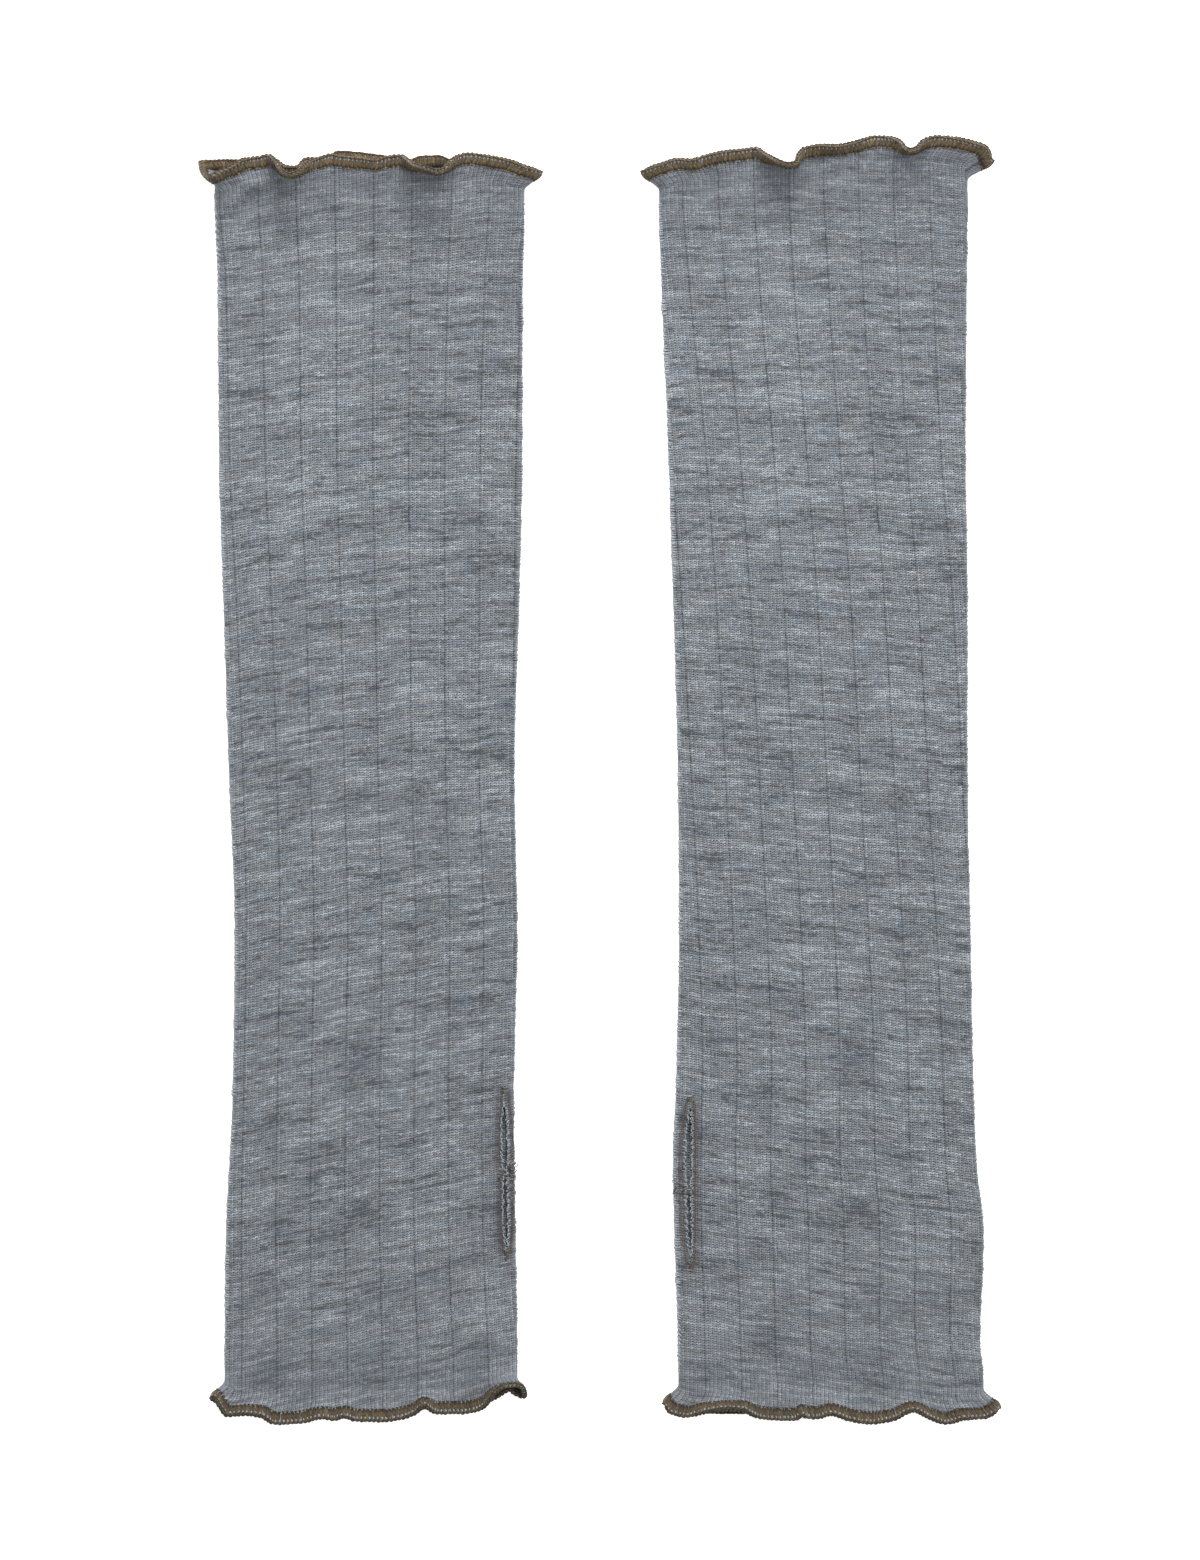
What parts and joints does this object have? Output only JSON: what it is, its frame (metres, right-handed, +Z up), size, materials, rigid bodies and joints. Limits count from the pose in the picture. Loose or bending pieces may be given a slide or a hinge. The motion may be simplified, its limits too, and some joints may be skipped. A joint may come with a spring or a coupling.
{
  "type": "pair of knitted wrist warmers",
  "caption": "Pair of long fine-rib knitted wrist warmers, laid flat, with ruffled overlocked ends and a bound thumb slit beside one fold of each.",
  "frame": {"origin": "on the surface the pair lies on, under the middle of the pair", "axes": "+Z up, +Y towards the elbow ends, +X from the left warmer to the right one"},
  "size_m": [0.2514, 0.4056, 0.0124],
  "materials": {
    "knit": "fine wool rib knit, blue-grey melange, matt and slightly fuzzy",
    "edging": "dense brown overlock thread, matt",
    "binding": "grey-brown zigzag stitching over the knit, matt"
  },
  "bodies": {
    "root": {"left_tube": "knit", "left_elbow_edging": "edging", "left_hand_edging": "edging", "left_thumb_binding": "binding", "right_tube": "knit", "right_elbow_edging": "edging", "right_hand_edging": "edging", "right_thumb_binding": "binding"}
  },
  "joints": []
}
